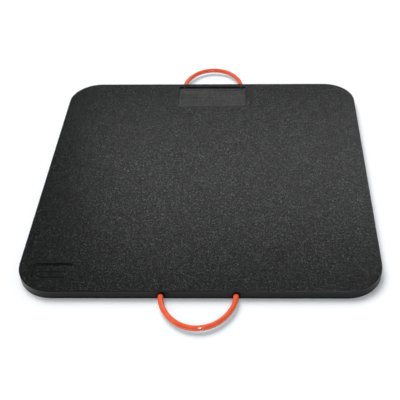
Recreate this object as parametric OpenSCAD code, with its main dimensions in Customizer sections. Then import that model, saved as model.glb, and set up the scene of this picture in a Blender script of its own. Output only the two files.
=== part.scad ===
// Outrigger pad: a square black plastic plate with a loop handle at its front and rear edges.
// Millimetres. X runs to the right, Y to the back and Z up.
// The origin is the centre of the underside, where the pad meets the ground.

/* [Plate] */
// Width of the plate, left to right
plate_w = 914.4; // [800:0.1:1200]
// Depth of the plate, front to back
plate_d = 914.4; // [700:0.1:1200]
// Thickness of the plate
plate_t = 25.4; // [21:0.1:60]
// Radius of the plate's corners, seen from above
corner_r = 94; // [20:1:120]
// Width of the small chamfer that breaks the top and bottom edges
edge_chamfer = 0.8; // [0.5:0.1:3]

/* [Handles] */
// Diameter of the handle's round bar
handle_d = 14; // [10:0.5:17]
// Distance between the centre lines of a handle's two legs
handle_span = 184.5; // [150:0.5:240]
// Distance from the plate's edge to the centre line at the handle's crown
handle_reach = 103; // [80:1:150]
// Angle that each of the handle's two side curves turns through
side_angle = 54; // [35:1:60]
// Length of each tail inside the plate
tail_length = 70; // [50:1:110]
// Room between a tail and the wall of its bore
bore_clearance = 0.3; // [0.2:0.05:0.5]
// Room left behind the end of a tail
bore_end_room = 2; // [0.5:0.5:6]
// How much thicker each stretch of the bar is, all round, than the one whose end it hides
bar_step = 0.1; // [0.05:0.01:0.2]
// Width of the sunk ring round each bore's mouth
mouth_ring = 2; // [0.5:0.1:3]

/* [Pins] */
// Diameter of the cross pins that lock the tails
pin_d = 5; // [3:0.5:6]
// Distance from the plate's edge to a pin's centre
pin_inset = 17.5; // [10:0.5:30]
// Thickness of plate left under a pin
pin_floor = 2.5; // [1.5:0.1:4]
// Distance from the top face down to a pin's end
pin_sink = 5; // [4:0.1:6]
// Room between a pin and the wall of its hole
pin_clearance = 0.1; // [0.05:0.01:0.2]

/* [Rear pocket] */
// Width of the pocket in the top face
pocket_w = 216; // [150:1:300]
// Length of the pocket, front to back
pocket_l = 111.4; // [60:0.1:200]
// Rim left between the pocket and the rear edge
pocket_rim = 15.8; // [8:0.1:40]
// Radius of the pocket's corners
pocket_r = 5; // [3:0.5:15]
// Thickness of plate left between the pocket's floor and the bores below it
bore_cover = 0.9; // [0.6:0.1:2]

/* [Corner recess] */
// Width of the recess near the front left corner
recess_w = 101; // [80:1:150]
// Length of the recess, front to back
recess_l = 55; // [48:1:90]
// Depth of the recess
recess_depth = 4.5; // [3:0.1:7]
// Radius of the recess's corners
recess_r = 9; // [3:0.5:12]
// Distance from the plate's left edge to the recess
recess_left = 36; // [25:1:80]
// Distance from the plate's front edge to the recess
recess_front = 40; // [25:1:80]
// Length of the two plain bars that stand on the recess's floor
bar_l = 70; // [30:1:75]
// Width of the bars
bar_w = 9; // [4:0.5:11]
// Height of the bars
bar_h = 2; // [1:0.1:4]
// Clear distance from the recess's front wall to the front bar
bar_front_gap = 12; // [9:0.5:14]
// Clear distance between the bars
bar_gap = 9; // [5:0.5:12]

/* [Hidden] */
$fn = 96;
over = 1;
mid_z = plate_t / 2;
leg_x = handle_span / 2;
bar_lap = 1.5;
tail_d = handle_d - 2 * bar_step;
crown_d = handle_d + 2 * bar_step;
bore_d = tail_d + 2 * bore_clearance;
bore_depth = tail_length + bore_end_room;
pin_hole_d = pin_d + 2 * pin_clearance;
pin_length = plate_t - pin_sink - pin_floor;
pocket_depth = mid_z - bore_d / 2 - bore_cover;

// The handle's centre line is an arch of three arcs: two side curves that leave the plate
// square to its edge, and a crown between them that meets both without a kink. Each stretch
// runs on by bar_lap inside the next one, which is thicker by bar_step.
radius_step = (handle_reach - leg_x) / (sin(side_angle) + cos(side_angle) - 1);
crown_r = leg_x - radius_step * (1 - cos(side_angle));
side_r = crown_r + radius_step;

module across_both_legs() {
    for (side = [-1, 1])
        translate([side * leg_x, 0, 0])
            children();
}

// Turns what is drawn at the rear edge round to the front edge
module at_front() {
    rotate([0, 0, 180])
        children();
}

module chamfered_section(w) {
    c = edge_chamfer;
    half = w / 2;
    polygon([[-half, c], [-half + c, 0], [half - c, 0], [half, c],
        [half, plate_t - c], [half - c, plate_t], [-half + c, plate_t], [-half, plate_t - c]]);
}

module corner_section() {
    c = edge_chamfer;
    polygon([[0, 0], [corner_r - c, 0], [corner_r, c],
        [corner_r, plate_t - c], [corner_r - c, plate_t], [0, plate_t]]);
}

module plate_blank() {
    straight_w = plate_w - 2 * corner_r;
    straight_d = plate_d - 2 * corner_r;
    translate([-straight_w / 2, 0, 0])
        rotate([90, 0, 90])
            linear_extrude(straight_w)
                chamfered_section(plate_d);
    translate([0, straight_d / 2, 0])
        rotate([90, 0, 0])
            linear_extrude(straight_d)
                chamfered_section(plate_w);
    for (x = [0, 1], y = [0, 1])
        mirror([x, 0, 0])
            mirror([0, y, 0])
                translate([straight_w / 2, straight_d / 2, 0])
                    rotate_extrude(angle = 90)
                        corner_section();
}

// A cutter with upright walls and round corners, standing on z = 0 with its centre at the origin
module round_cutter(w, l, h, r) {
    translate([-w / 2 + r, -l / 2, 0])
        cube([w - 2 * r, l, h]);
    translate([-w / 2, -l / 2 + r, 0])
        cube([w, l - 2 * r, h]);
    for (x = [0, 1], y = [0, 1])
        mirror([x, 0, 0])
            mirror([0, y, 0])
                translate([w / 2 - r, l / 2 - r, 0])
                    rotate_extrude(angle = 90)
                        square([r, h]);
}

// One bore, its sunk mouth and its pin hole, drawn at the middle of the rear edge
module bore_cut() {
    mouth_r = bore_d / 2 + mouth_ring;
    translate([0, plate_d / 2 - bore_depth, mid_z])
        rotate([-90, 0, 0])
            cylinder(h = bore_depth + over, d = bore_d);
    translate([0, plate_d / 2 - mouth_ring, mid_z])
        rotate([-90, 0, 0])
            cylinder(h = mouth_ring, r1 = bore_d / 2, r2 = mouth_r);
    translate([0, plate_d / 2 - pin_inset, pin_floor])
        cylinder(h = plate_t - pin_floor + over, d = pin_hole_d);
}

module pocket_cut() {
    translate([0, plate_d / 2 - pocket_rim - pocket_l / 2, plate_t - pocket_depth])
        round_cutter(pocket_w, pocket_l, pocket_depth + over, pocket_r);
}

module recess_bar(y) {
    translate([-bar_l / 2, y, 0])
        cube([bar_l, bar_w, bar_h]);
}

module corner_recess_cut() {
    front_y = -recess_l / 2 + bar_front_gap;
    translate([-plate_w / 2 + recess_left + recess_w / 2, -plate_d / 2 + recess_front + recess_l / 2,
        plate_t - recess_depth])
        difference() {
            round_cutter(recess_w, recess_l, recess_depth + over, recess_r);
            recess_bar(front_y);
            recess_bar(front_y + bar_w + bar_gap);
        }
}

module pad_plate() {
    color("#3b3d3c")
        difference() {
            plate_blank();
            across_both_legs()
                bore_cut();
            at_front()
                across_both_legs()
                    bore_cut();
            pocket_cut();
            corner_recess_cut();
        }
}

// A stretch of the handle's bar that turns in the plane of the plate
module bar_arc(r, d, from, angle) {
    rotate([0, 0, from])
        rotate_extrude(angle = angle)
            translate([r, 0])
                circle(d = d);
}

// One tail with the hole for its pin
module tail() {
    difference() {
        translate([leg_x, bar_lap, 0])
            rotate([90, 0, 0])
                cylinder(h = tail_length + bar_lap, d = tail_d);
        translate([leg_x, -pin_inset, -handle_d])
            cylinder(h = 2 * handle_d, d = pin_hole_d);
    }
}

// The whole loop with its two tails, drawn at the rear edge
module handle() {
    lap_angle = bar_lap / side_r * 180 / PI;
    translate([0, plate_d / 2, mid_z]) {
        for (side = [0, 1])
            mirror([side, 0, 0]) {
                tail();
                translate([leg_x - side_r, 0, 0])
                    bar_arc(side_r, handle_d, 0, side_angle + lap_angle);
            }
        translate([0, handle_reach - crown_r, 0])
            bar_arc(crown_r, crown_d, side_angle, 180 - 2 * side_angle);
    }
}

module rear_handle() {
    color("#ea5a37")
        handle();
}

module front_handle() {
    color("#ea5a37")
        at_front()
            handle();
}

// The pin on one leg of the rear handle: side is -1 on the left and 1 on the right
module pin(side) {
    color("#8c8c88")
        translate([side * leg_x, plate_d / 2 - pin_inset, pin_floor])
            cylinder(h = pin_length, d = pin_d);
}

module front_left_pin() {
    at_front()
        pin(1);
}

module front_right_pin() {
    at_front()
        pin(-1);
}

module rear_left_pin() {
    pin(-1);
}

module rear_right_pin() {
    pin(1);
}

pad_plate();
front_handle();
rear_handle();
front_left_pin();
front_right_pin();
rear_left_pin();
rear_right_pin();
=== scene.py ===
"""Looks of a square outrigger pad: its granular black plate, the two glossy orange loop handles and their pins.

Metres, in the CAD frame: X right, Y to the rear handle, Z up, origin at the centre of the underside.
"""

import math

import bpy
from mathutils import Matrix, Quaternion, Vector


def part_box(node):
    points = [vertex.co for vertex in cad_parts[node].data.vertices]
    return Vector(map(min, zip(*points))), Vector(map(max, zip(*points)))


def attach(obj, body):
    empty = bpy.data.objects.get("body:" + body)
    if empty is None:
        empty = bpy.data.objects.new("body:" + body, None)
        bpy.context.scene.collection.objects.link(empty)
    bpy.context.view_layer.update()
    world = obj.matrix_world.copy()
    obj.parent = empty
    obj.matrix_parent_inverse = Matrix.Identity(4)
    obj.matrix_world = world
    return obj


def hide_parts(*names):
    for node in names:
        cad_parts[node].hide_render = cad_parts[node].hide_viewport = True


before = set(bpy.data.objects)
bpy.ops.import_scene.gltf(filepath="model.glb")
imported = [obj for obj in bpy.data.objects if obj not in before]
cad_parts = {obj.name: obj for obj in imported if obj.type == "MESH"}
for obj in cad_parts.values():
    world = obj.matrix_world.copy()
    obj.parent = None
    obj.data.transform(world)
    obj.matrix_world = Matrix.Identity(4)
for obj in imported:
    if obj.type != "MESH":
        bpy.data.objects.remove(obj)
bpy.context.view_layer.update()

# Camera, fitted to the photograph, which is 400 by 400 pixels. CENTRE_PX is where its axis meets the picture.
PHOTO_SIDE = 400
FOCAL_PX = 776.64
CENTRE_PX = 240.0
SENSOR_MM = 36.0
CAMERA_AT = Vector((0.13559, -1.71987, 1.44077))
PITCH = math.radians(41.52)
YAW = math.radians(1.37)
ROLL = math.radians(-0.95)

# Places on the plate
PLATE_LOW, PLATE_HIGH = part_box("pad_plate")
PLATE_T = PLATE_HIGH.z
CORNER_R = 0.094
POCKET_WALL_Y = PLATE_HIGH.y - 0.0158
PIN_Y = PLATE_HIGH.y - 0.0175
SUNK_BELOW = PLATE_T - 0.0008

# Handle: the CAD centre line, as two side arcs and a crown
BAR_D = 0.014
BAR_Z = PLATE_T / 2
LEG_X = 0.09225
REACH = 0.103
SIDE_ANGLE = math.radians(54)
TAIL_SHOWN = 0.012
TAIL_STEPS = 4
ARC_STEPS = 150
RING_SIDES = 32

# Bands over which one finish gives way to the next, each as its start and end
TOP_FACING = (0.8, 0.95)             # how far a face looks up or down
SIDE_FACING = (0.8, 0.98)            # how far a wall looks left or right
BORDER_BAND = (0.0008, 0.0036)       # inwards from the outline
INNER_BAND = (0.01, 0.02)            # inwards too: walls past it are the pocket's, the recess's or a pin hole's
FOOT_BAND = (0.0015, 0.0055)         # up from the ground
LOW_WALL_BAND = (PLATE_T - 0.0027, PLATE_T - 0.0023)
MOUTH_BAND = (0.0088, 0.0135)        # out from a bore's axis
PIN_HOLE_BAND = (0.003, 0.004)       # out from a pin's axis
POCKET_CORNER_BAND = (0.001, 0.007)  # forwards from the pocket's back wall
ROOT_BAND = (0.0005, 0.0055)         # along a handle, out from the plate

# Parts of a noise's range, which lies mostly between 0.25 and 0.75
MIDDLE = (0.3, 0.7)
WIDE_MIDDLE = (0.25, 0.75)
LOW_MIDDLE = (0.3, 0.6)
NARROW_MIDDLE = (0.4, 0.6)
NEARLY_ALL = (0.2, 0.8)

# Grains of the plate's top. Scales are cells or waves to a metre, and heights are in metres.
GRAIN_SCALE = 600
GLINT_SCALE = GRAIN_SCALE * 1.3
GRAIN_HEIGHT = 0.00008
FINE_SCALE = 520
FINE_PART = 0.5
FACET_TILT = 0.12
EDGE_ROLL = 1.7

# Flecks are the few brightest grains: the power leaves few, and the pairs say how much they vary
FLECK_POWER = 10.0
FLECK_COAT = 1.45
FLECK_UNEVEN = (0.5, 1.2)
PATCH_SCALE = 14
PATCH_UNEVEN = (0.88, 1.02)

# Lines of the cutter, as waves to a metre along X, Y and Z, and the share of the pocket's tone that they make
CUT_LINES = (6.0, 420.0, 420.0)
MILLED_LINES = (5.0, 170.0, 5.0)
LINES_SHARE = 0.4

# The pocket's floor has less coat and grain than the top, by these shares
POCKET_LESS_COAT = 0.5
POCKET_LESS_GRAIN = 0.8

# Skin of the handles, and the film on the pins
TONE_SCALE = 40
SKIN_SCALE = 600
SKIN_PART = 0.05
WAVE_SCALE = 85
WAVE_HEIGHT = 0.0007
WAVE_STRENGTH = 0.25
FILM_SCALE = 900
FILM_HEIGHT = 0.0001
FILM_STRENGTH = 0.4

# How dark each zone of painted shade on the plate is, and how much less the cut faces shine, from 0 to 1
BORDER_SHADE = 0.62
FOOT_SHADE = 0.85
CHAMFER_SHADE = 0.7
POCKET_CORNER_SHADE = 0.8
CUT_DARK = 0.28

# How much painted light lifts the shaded walls of the recess and the pin holes, from 0 to 1
LOW_WALL_LIGHT = 0.42
PIN_HOLE_LIGHT = 0.85

# Roughness and gloss
ROUGH_LOW, ROUGH_HIGH = 0.217, 0.277
BORDER_ROUGH = 0.3
CUT_ROUGH = 0.34
CHAMFER_ROUGH = 0.45
PLATE_SPECULAR = 0.4
COAT_ROUGH = 0.237
COAT_IOR = 2.1
HANDLE_ROUGH = (0.09, 0.13)
HANDLE_IOR = 1.7
PIN_ROUGH = (0.38, 0.6)
PIN_METALLIC = 0.85

# Light. A level is what one lamp, or the sky, alone gives a white floor.
KEY_LEVEL = 0.625
PANEL_LEVEL = 0.062
GLINT_LEVEL = 0.3
EDGE_LEVEL = 0.33
FILL_LEVEL = 0.135
SKY_LEVEL = 0.26
GLOSS_SKY = 0.04
FLOOR_LIFT = 0.06
SUN_DISTANCE = 6.0
KEY_TINT = (1.03, 1.0, 0.99)
SKY_TINT = (0.88, 1.0, 1.06, 1.0)
LIFT_TINT = (1.0, 1.0, 1.04, 1.0)
WHITE = (1.0, 1.0, 1.0, 1.0)
FLOOR_WHITE = (0.92, 0.92, 0.93, 1.0)
FLOOR_HALF = 15.0
FLOOR_Z = -0.0002


def colour(r, g, b):
    """A linear colour from sRGB values of 0 to 255."""
    def linear(v):
        v /= 255
        return v / 12.92 if v <= 0.04045 else ((v + 0.055) / 1.055) ** 2.4
    return (linear(r), linear(g), linear(b), 1.0)


# Each pair is the two ends that a finish varies between
GROUND = colour(14, 14, 12), colour(25, 25, 23)
FLECKS = colour(59, 79, 80), colour(83, 79, 72)
CUT = colour(8, 8, 10), colour(15, 16, 18)
MILLED = colour(17, 18, 17), colour(58, 58, 56)
MILLED_FLECK = colour(118, 122, 119)
# Colours of painted shade: along the border, under the pocket's back wall, and at the bore openings, the bottom
# edge and the chamfer
BORDER_SHADE_COLOUR = colour(9, 9, 10)
CORNER_SHADE_COLOUR = colour(5, 5, 5)
MOUTH_SHADE_COLOUR = colour(5, 3, 3)
# Painted light on inner walls that lie in shade
WALL_LIGHT_COLOUR = colour(82, 82, 80)
ORANGE = colour(244, 90, 50), colour(250, 106, 66)
# Painted shade where a handle enters the plate
ROOT_SHADE_COLOUR = colour(70, 12, 8)
STEEL = colour(70, 70, 68), colour(120, 119, 116)
NO_SHINE = (0.05, 0.05, 0.05, 1.0)


class Nodes:
    """Short calls for building a node tree."""

    def __init__(self, tree):
        self.tree = tree
        tree.nodes.clear()

    def add(self, kind, **settings):
        node = self.tree.nodes.new(kind)
        for name, value in settings.items():
            setattr(node, name, value)
        return node

    def put(self, value, socket):
        """Sets a socket to a plain value, or links it."""
        if isinstance(value, bpy.types.NodeSocket):
            self.tree.links.new(value, socket)
        else:
            socket.default_value = value

    def place(self):
        """The point's place in the CAD frame."""
        return self.add("ShaderNodeTexCoord").outputs["Object"]

    def math(self, operation, a, b=0.0, clamp=False):
        node = self.add("ShaderNodeMath", operation=operation, use_clamp=clamp)
        self.put(a, node.inputs[0])
        self.put(b, node.inputs[1])
        return node.outputs[0]

    def all_of(self, *values):
        """The product of the values."""
        total = values[0]
        for value in values[1:]:
            total = self.math("MULTIPLY", total, value)
        return total

    def any_of(self, *values):
        """The highest of the values."""
        total = values[0]
        for value in values[1:]:
            total = self.math("MAXIMUM", total, value)
        return total

    def without(self, value):
        return self.math("SUBTRACT", 1.0, value)

    def step(self, value, low, high, to_low=0.0, to_high=1.0):
        """A smooth step from low to high."""
        node = self.add("ShaderNodeMapRange", interpolation_type="SMOOTHSTEP")
        for socket, item in zip(node.inputs, (value, low, high, to_low, to_high)):
            self.put(item, socket)
        return node.outputs[0]

    def fade(self, value, band, amount=1.0):
        """A smooth fall from amount, before the band, to nothing after it."""
        return self.step(value, *band, amount, 0.0)

    def split(self, vector):
        node = self.add("ShaderNodeSeparateXYZ")
        self.put(vector, node.inputs[0])
        return list(node.outputs)

    def mix(self, factor, a, b):
        node = self.add("ShaderNodeMix", data_type="RGBA")
        self.put(factor, node.inputs["Factor"])
        self.put(a, node.inputs[6])
        self.put(b, node.inputs[7])
        return node.outputs[2]

    def blend(self, factor, a, b):
        node = self.add("ShaderNodeMix", data_type="FLOAT")
        self.put(factor, node.inputs["Factor"])
        self.put(a, node.inputs[2])
        self.put(b, node.inputs[3])
        return node.outputs[0]

    def vector(self, operation, a, b=(0.0, 0.0, 0.0), output="Vector"):
        node = self.add("ShaderNodeVectorMath", operation=operation)
        self.put(a, node.inputs[0])
        self.put(b, node.inputs[1])
        return node.outputs[output]

    def scaled(self, vector, factors):
        return self.vector("MULTIPLY", vector, factors)

    def length(self, vector):
        return self.vector("LENGTH", vector, output="Value")

    def noise(self, vector, scale, detail=2.0, roughness=0.5):
        node = self.add("ShaderNodeTexNoise")
        self.put(vector, node.inputs["Vector"])
        node.inputs["Scale"].default_value = scale
        node.inputs["Detail"].default_value = detail
        node.inputs["Roughness"].default_value = roughness
        return node.outputs["Fac"]

    def cells(self, vector, scale, output):
        node = self.add("ShaderNodeTexVoronoi")
        self.put(vector, node.inputs["Vector"])
        node.inputs["Scale"].default_value = scale
        return node.outputs[output]

    def bump(self, height, distance, strength):
        node = self.add("ShaderNodeBump")
        self.put(height, node.inputs["Height"])
        self.put(strength, node.inputs["Strength"])
        node.inputs["Distance"].default_value = distance
        return node.outputs["Normal"]

    def principled(self, base, roughness):
        shader = self.add("ShaderNodeBsdfPrincipled")
        self.put(base, shader.inputs["Base Color"])
        self.put(roughness, shader.inputs["Roughness"])
        return shader

    def finish(self, shader):
        out = self.add("ShaderNodeOutputMaterial")
        self.put(shader.outputs[0], out.inputs["Surface"])


def new_material(name):
    material = bpy.data.materials.new(name)
    material.use_nodes = True
    return material, Nodes(material.node_tree)


def outline(n, place):
    """Distance inwards from the plate's outline, seen from above, and the direction out towards it."""
    straight_ends = (PLATE_HIGH.x - CORNER_R, PLATE_HIGH.y - CORNER_R, 1.0)
    past = n.vector("SUBTRACT", n.vector("ABSOLUTE", place), straight_ends)
    px, py = n.split(past)[:2]
    outer = n.vector("MAXIMUM", past, (0.0, 0.0, 0.0))
    flat_part = n.math("MINIMUM", n.math("MAXIMUM", px, py), 0.0)
    inwards = n.math("SUBTRACT", CORNER_R, n.math("ADD", n.length(outer), flat_part))
    outwards = n.vector("NORMALIZE", n.scaled(outer, n.vector("SIGN", place)))
    return inwards, outwards


def off_axis(n, place, at, across):
    """Distance from the axis of a bore or a pin. All four quarters of the plate have one."""
    return n.length(n.scaled(n.vector("SUBTRACT", n.vector("ABSOLUTE", place), at), across))


def plate_material():
    """Black moulded plastic: grainy on top, cut smooth on the edges and in the pocket."""
    material, n = new_material("black_plastic")
    place = n.place()
    y, z = n.split(place)[1:]
    sideways, _, rise = n.split(n.vector("ABSOLUTE", n.add("ShaderNodeNewGeometry").outputs["True Normal"]))
    inwards, outwards = outline(n, place)

    # Zones, each 1 inside and 0 outside
    broad = n.step(rise, *TOP_FACING)
    sunk = n.math("LESS_THAN", z, SUNK_BELOW)
    pocket = n.all_of(sunk, n.math("GREATER_THAN", y, 0.0), broad, n.math("GREATER_THAN", z, BAR_Z))
    chamfer = n.all_of(n.without(sunk), n.without(broad))
    # The border takes painted shade along the outline, as well as more gloss and a rolled normal
    border = n.fade(inwards, BORDER_BAND)
    # Painted shade along the bottom of the walls, where the plate stands on the floor
    foot_shade = n.fade(z, FOOT_BAND, FOOT_SHADE)
    # Painted shade round each bore's opening in the front and rear faces
    mouth_shade = n.fade(off_axis(n, place, (LEG_X, 0.0, BAR_Z), (1.0, 0.0, 1.0)), MOUTH_BAND)
    # dark gathers the painted shade of the bore openings, the bottom edge and the chamfer
    dark = n.any_of(mouth_shade, foot_shade, n.all_of(chamfer, CHAMFER_SHADE))
    # Painted light that lifts the pin holes out of their shade
    pin_hole_light = n.fade(off_axis(n, place, (LEG_X, PIN_Y, 0.0), (1.0, 1.0, 0.0)), PIN_HOLE_BAND, PIN_HOLE_LIGHT)
    # Painted light on the inner walls of the pocket and the recess, which lie in shade
    inner_wall = n.any_of(n.step(sideways, *SIDE_FACING), n.fade(z, LOW_WALL_BAND, LOW_WALL_LIGHT))
    wall_light = n.any_of(n.all_of(inner_wall, n.step(inwards, *INNER_BAND)), pin_hole_light)

    # Grains of the moulded top: each cell has its own shade, and the few brightest stand out as flecks
    fine = n.noise(place, FINE_SCALE, 2.0, 0.6)
    shade, tint = n.split(n.cells(place, GRAIN_SCALE, "Color"))[:2]
    fleck = n.all_of(n.math("POWER", shade, FLECK_POWER), n.step(fine, *LOW_MIDDLE, *FLECK_UNEVEN))
    patches = n.step(n.noise(place, PATCH_SCALE, 1.0), *WIDE_MIDDLE, *PATCH_UNEVEN)
    ground = n.mix(n.step(fine, *WIDE_MIDDLE), *GROUND)
    top = n.mix(n.all_of(fleck, patches), ground, n.mix(tint, *FLECKS))
    # Painted shade along the border
    top = n.mix(n.all_of(border, BORDER_SHADE), top, BORDER_SHADE_COLOUR)

    # The pocket's floor is milled in lines along X, and has painted shade under its back wall
    floor_lines = n.noise(n.scaled(place, MILLED_LINES), 1.0, 1.0)
    floor_level = n.math("ADD", n.all_of(floor_lines, LINES_SHARE), n.all_of(fine, 1 - LINES_SHARE))
    milled = n.mix(n.step(floor_level, *NARROW_MIDDLE), *MILLED)
    milled = n.mix(fleck, milled, MILLED_FLECK)
    corner_shade = n.fade(n.math("SUBTRACT", POCKET_WALL_Y, y), POCKET_CORNER_BAND, POCKET_CORNER_SHADE)
    milled = n.mix(corner_shade, milled, CORNER_SHADE_COLOUR)

    # Cut edges and walls are finer, with thin lines that the cutter left
    lines = n.noise(n.scaled(place, CUT_LINES), 1.0, 2.0)
    cut = n.mix(n.step(lines, *MIDDLE), *CUT)
    # Painted shade at the bore openings, the bottom edge and the chamfer
    cut = n.mix(dark, cut, MOUTH_SHADE_COLOUR)
    # Painted light on the shaded inner walls and pin holes
    cut = n.mix(wall_light, cut, WALL_LIGHT_COLOUR)
    base = n.mix(broad, cut, n.mix(pocket, top, milled))

    # Roughness, less shine on all cut faces, and painted shade that takes the shine away at the border, the bore
    # openings, the bottom edge and the chamfer
    glint = n.cells(place, GLINT_SCALE, "Color")
    rough_top = n.step(n.split(glint)[2], 0.0, 1.0, ROUGH_LOW, ROUGH_HIGH)
    rough_top = n.blend(border, rough_top, BORDER_ROUGH)
    rough_cut = n.blend(chamfer, CUT_ROUGH, CHAMFER_ROUGH)
    shader = n.principled(base, n.blend(broad, rough_cut, n.blend(pocket, rough_top, CUT_ROUGH)))
    shader.inputs["Specular IOR Level"].default_value = PLATE_SPECULAR
    # Painted shade in the gloss: the shaded zones reflect less
    shaded = n.blend(broad, n.any_of(dark, CUT_DARK), n.all_of(border, BORDER_SHADE))
    n.put(n.mix(n.without(shaded), NO_SHINE, WHITE), shader.inputs["Specular Tint"])

    # Flecks and the border have a glossy skin
    coated = n.all_of(broad, n.without(n.all_of(pocket, POCKET_LESS_COAT)))
    glaze = n.any_of(n.all_of(fleck, FLECK_COAT), border)
    n.put(n.math("MULTIPLY", glaze, coated, clamp=True), shader.inputs["Coat Weight"])
    shader.inputs["Coat Roughness"].default_value = COAT_ROUGH
    shader.inputs["Coat IOR"].default_value = COAT_IOR

    # Grains stand up and lean each their own way, and the border rolls over the edge
    grained = n.all_of(broad, n.without(n.all_of(pocket, POCKET_LESS_GRAIN)))
    height = n.math("ADD", n.cells(place, GRAIN_SCALE, "Distance"), n.all_of(fine, FINE_PART))
    lean = n.scaled(n.vector("SUBTRACT", glint, (0.5, 0.5, 0.5)), (FACET_TILT, FACET_TILT, 0.0))
    lean = n.scaled(lean, grained)
    rolled = n.scaled(outwards, n.all_of(border, grained, EDGE_ROLL))
    facets = n.vector("ADD", n.bump(height, GRAIN_HEIGHT, grained), n.vector("ADD", lean, rolled))
    n.put(n.vector("NORMALIZE", facets), shader.inputs["Normal"])
    n.finish(shader)
    return material


def handle_material():
    """Glossy orange plastic with a slightly uneven skin, and painted shade where it enters the plate."""
    material, n = new_material("orange_gloss")
    place = n.place()
    fine = n.noise(place, SKIN_SCALE, 1.0)
    base = n.mix(n.step(n.noise(place, TONE_SCALE), *MIDDLE), *ORANGE)
    past_face = n.math("SUBTRACT", n.math("ABSOLUTE", n.split(place)[1]), PLATE_HIGH.y)
    # Painted shade on the handle where it enters the plate's face
    base = n.mix(n.fade(past_face, ROOT_BAND), base, ROOT_SHADE_COLOUR)
    shader = n.principled(base, n.step(fine, *NEARLY_ALL, *HANDLE_ROUGH))
    shader.inputs["IOR"].default_value = HANDLE_IOR
    height = n.math("ADD", n.noise(place, WAVE_SCALE, 1.0), n.all_of(fine, SKIN_PART))
    n.put(n.bump(height, WAVE_HEIGHT, WAVE_STRENGTH), shader.inputs["Normal"])
    n.finish(shader)
    return material


def pin_material():
    """Dull steel under an uneven dark film."""
    material, n = new_material("dull_steel")
    film = n.noise(n.place(), FILM_SCALE, 3.0)
    shader = n.principled(n.mix(n.step(film, *MIDDLE), *STEEL), n.step(film, *MIDDLE, *PIN_ROUGH))
    shader.inputs["Metallic"].default_value = PIN_METALLIC
    n.put(n.bump(film, FILM_HEIGHT, FILM_STRENGTH), shader.inputs["Normal"])
    n.finish(shader)
    return material


def show(name, data):
    """Puts a new object with this data in the scene."""
    obj = bpy.data.objects.new(name, data)
    bpy.context.scene.collection.objects.link(obj)
    return obj


def dress(obj, material):
    obj.data.materials.clear()
    obj.data.materials.append(material)


def handle_line():
    """Points and headings along a handle, in the plane of the plate, from one tail round the loop to the other."""
    radius_step = (REACH - LEG_X) / (math.sin(SIDE_ANGLE) + math.cos(SIDE_ANGLE) - 1)
    crown_r = LEG_X - radius_step * (1 - math.cos(SIDE_ANGLE))
    side_r = crown_r + radius_step
    line = [(LEG_X, -TAIL_SHOWN * (1 - i / TAIL_STEPS), 0.0) for i in range(TAIL_STEPS)]
    for i in range(ARC_STEPS + 1):
        turn = math.pi * i / ARC_STEPS
        quarter = min(turn, math.pi - turn)
        if quarter < SIDE_ANGLE:
            x = LEG_X - side_r + side_r * math.cos(quarter)
            y = side_r * math.sin(quarter)
        else:
            x = crown_r * math.cos(quarter)
            y = REACH - crown_r + crown_r * math.sin(quarter)
        line.append((x if turn <= math.pi / 2 else -x, y, turn))
    line += [(-LEG_X, -TAIL_SHOWN * i / TAIL_STEPS, math.pi) for i in range(1, TAIL_STEPS + 1)]
    return line


def handle_mesh(name, edge_y, outwards):
    """One smooth bar swept along the centre line, leaving the plate's face at edge_y."""
    verts, faces = [], []
    line = handle_line()
    radius = BAR_D / 2
    for x, y, turn in line:
        for k in range(RING_SIDES):
            a = 2 * math.pi * k / RING_SIDES
            out = radius * math.cos(a)
            verts.append((outwards * (x + out * math.cos(turn)),
                          edge_y + outwards * (y + out * math.sin(turn)),
                          BAR_Z + radius * math.sin(a)))
    for i in range(len(line) - 1):
        a, b = i * RING_SIDES, (i + 1) * RING_SIDES
        for k in range(RING_SIDES):
            k2 = (k + 1) % RING_SIDES
            faces.append((a + k, a + k2, b + k2, b + k))
    last = (len(line) - 1) * RING_SIDES
    faces.append(tuple(reversed(range(RING_SIDES))))
    faces.append(tuple(range(last, last + RING_SIDES)))
    mesh = bpy.data.meshes.new(name)
    mesh.from_pydata(verts, [], faces)
    mesh.validate()
    mesh.shade_smooth()
    return show(name, mesh)


def make_camera():
    data = bpy.data.cameras.new("camera")
    data.sensor_width = SENSOR_MM
    data.lens = SENSOR_MM * FOCAL_PX / PHOTO_SIDE
    data.shift_x = (PHOTO_SIDE / 2 - CENTRE_PX) / PHOTO_SIDE
    camera = show("camera", data)
    turn = (Matrix.Rotation(YAW, 4, "Z") @ Matrix.Rotation(math.pi / 2 - PITCH, 4, "X")
            @ Matrix.Rotation(ROLL, 4, "Z"))
    camera.matrix_world = Matrix.Translation(CAMERA_AT) @ turn
    bpy.context.scene.camera = camera


def towards(azimuth, elevation):
    """The direction of a lamp from the plate, from angles in degrees. Azimuth 0 is behind the plate."""
    a, e = math.radians(azimuth), math.radians(elevation)
    return Vector((math.sin(a) * math.cos(e), math.cos(a) * math.cos(e), math.sin(e)))


def softbox(name, azimuth, elevation, distance, size, level, roll=0.0):
    """A lamp of size width by height that faces the plate."""
    aim = towards(azimuth, elevation)
    lamp = bpy.data.lights.new(name, "AREA")
    lamp.shape = "RECTANGLE"
    lamp.size, lamp.size_y = size
    lamp.energy = level * math.pi ** 2 * distance ** 2 / aim.z
    obj = show(name, lamp)
    obj.location = aim * distance
    obj.rotation_mode = "QUATERNION"
    obj.rotation_quaternion = aim.to_track_quat("Z", "Y") @ Quaternion((0, 0, 1), math.radians(roll))
    return obj


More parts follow.
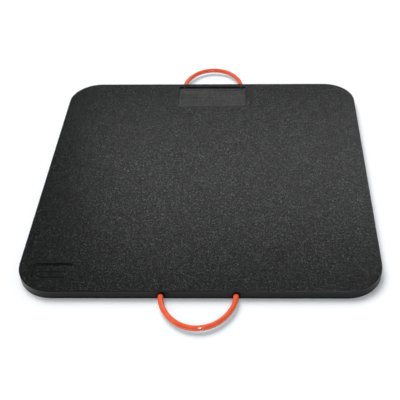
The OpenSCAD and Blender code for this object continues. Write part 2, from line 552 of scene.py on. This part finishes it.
def sun(name, azimuth, elevation, width, level, tint=(1.0, 1.0, 1.0)):
    """A far lamp, width degrees across, that lights the floor evenly and shows in no gloss."""
    aim = towards(azimuth, elevation)
    lamp = bpy.data.lights.new(name, "SUN")
    lamp.angle = math.radians(width)
    lamp.color = tint
    lamp.energy = level * math.pi / aim.z
    obj = show(name, lamp)
    obj.location = aim * SUN_DISTANCE
    obj.rotation_euler = aim.to_track_quat("Z", "Y").to_euler()
    obj.visible_glossy = False


def shine_on(lamp, objects):
    """Makes a lamp act in gloss only, and on these objects alone."""
    group = bpy.data.collections.new(lamp.name + "_receivers")
    for obj in objects:
        group.objects.link(obj)
    lamp.light_linking.receiver_collection = group
    lamp.visible_diffuse = False


def make_world():
    """White to the camera, and otherwise an even soft sky, darker in gloss."""
    world = bpy.data.worlds.new("studio")
    world.use_nodes = True
    bpy.context.scene.world = world
    n = Nodes(world.node_tree)
    path = n.add("ShaderNodeLightPath").outputs
    level = n.blend(path["Is Glossy Ray"], SKY_LEVEL, GLOSS_SKY)
    back = n.add("ShaderNodeBackground")
    n.put(n.mix(path["Is Camera Ray"], SKY_TINT, WHITE), back.inputs["Color"])
    n.put(n.blend(path["Is Camera Ray"], level, 1.0), back.inputs["Strength"])
    out = n.add("ShaderNodeOutputWorld")
    n.put(back.outputs[0], out.inputs["Surface"])


def make_floor():
    """A plain white floor that keeps the pad's shadow, lifted to white for the camera alone."""
    material, n = new_material("floor_white")
    diffuse = n.add("ShaderNodeBsdfDiffuse")
    diffuse.inputs["Color"].default_value = FLOOR_WHITE
    lift = n.add("ShaderNodeEmission")
    lift.inputs["Color"].default_value = LIFT_TINT
    n.put(n.all_of(n.add("ShaderNodeLightPath").outputs["Is Camera Ray"], FLOOR_LIFT), lift.inputs["Strength"])
    both = n.add("ShaderNodeAddShader")
    n.put(diffuse.outputs[0], both.inputs[0])
    n.put(lift.outputs[0], both.inputs[1])
    n.finish(both)
    h = FLOOR_HALF
    mesh = bpy.data.meshes.new("floor")
    mesh.from_pydata([(-h, -h, 0), (h, -h, 0), (h, h, 0), (-h, h, 0)], [], [(0, 1, 2, 3)])
    mesh.materials.append(material)
    floor = show("floor", mesh)
    floor.location.z = FLOOR_Z


bpy.context.scene.view_settings.view_transform = "Standard"
make_camera()
make_world()
make_floor()
sun("key", azimuth=-35, elevation=57, width=40, level=KEY_LEVEL, tint=KEY_TINT)
softbox("panel", azimuth=11.8, elevation=39.2, distance=3.0, size=(3.05, 1.04), level=PANEL_LEVEL, roll=10)
glint = softbox("glint", azimuth=174, elevation=47, distance=2.4, size=(0.04, 0.08), level=GLINT_LEVEL)
edge = softbox("edge", azimuth=158, elevation=42, distance=3.0, size=(1.4, 0.3), level=EDGE_LEVEL)
sun("fill", azimuth=180, elevation=34, width=32, level=FILL_LEVEL)

dress(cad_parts["pad_plate"], plate_material())
orange = handle_material()
loops = []
for end, edge_y, outwards in (("front", PLATE_LOW.y, -1), ("rear", PLATE_HIGH.y, 1)):
    loop = handle_mesh(end + "_loop", edge_y, outwards)
    dress(loop, orange)
    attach(loop, "root")
    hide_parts(end + "_handle")
    loop.visible_diffuse = False  # no orange light on the floor, as in the photograph
    loops.append(loop)
steel = pin_material()
for node in ("front_left_pin", "front_right_pin", "rear_left_pin", "rear_right_pin"):
    dress(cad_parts[node], steel)
shine_on(glint, loops)
shine_on(edge, [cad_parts["pad_plate"]])
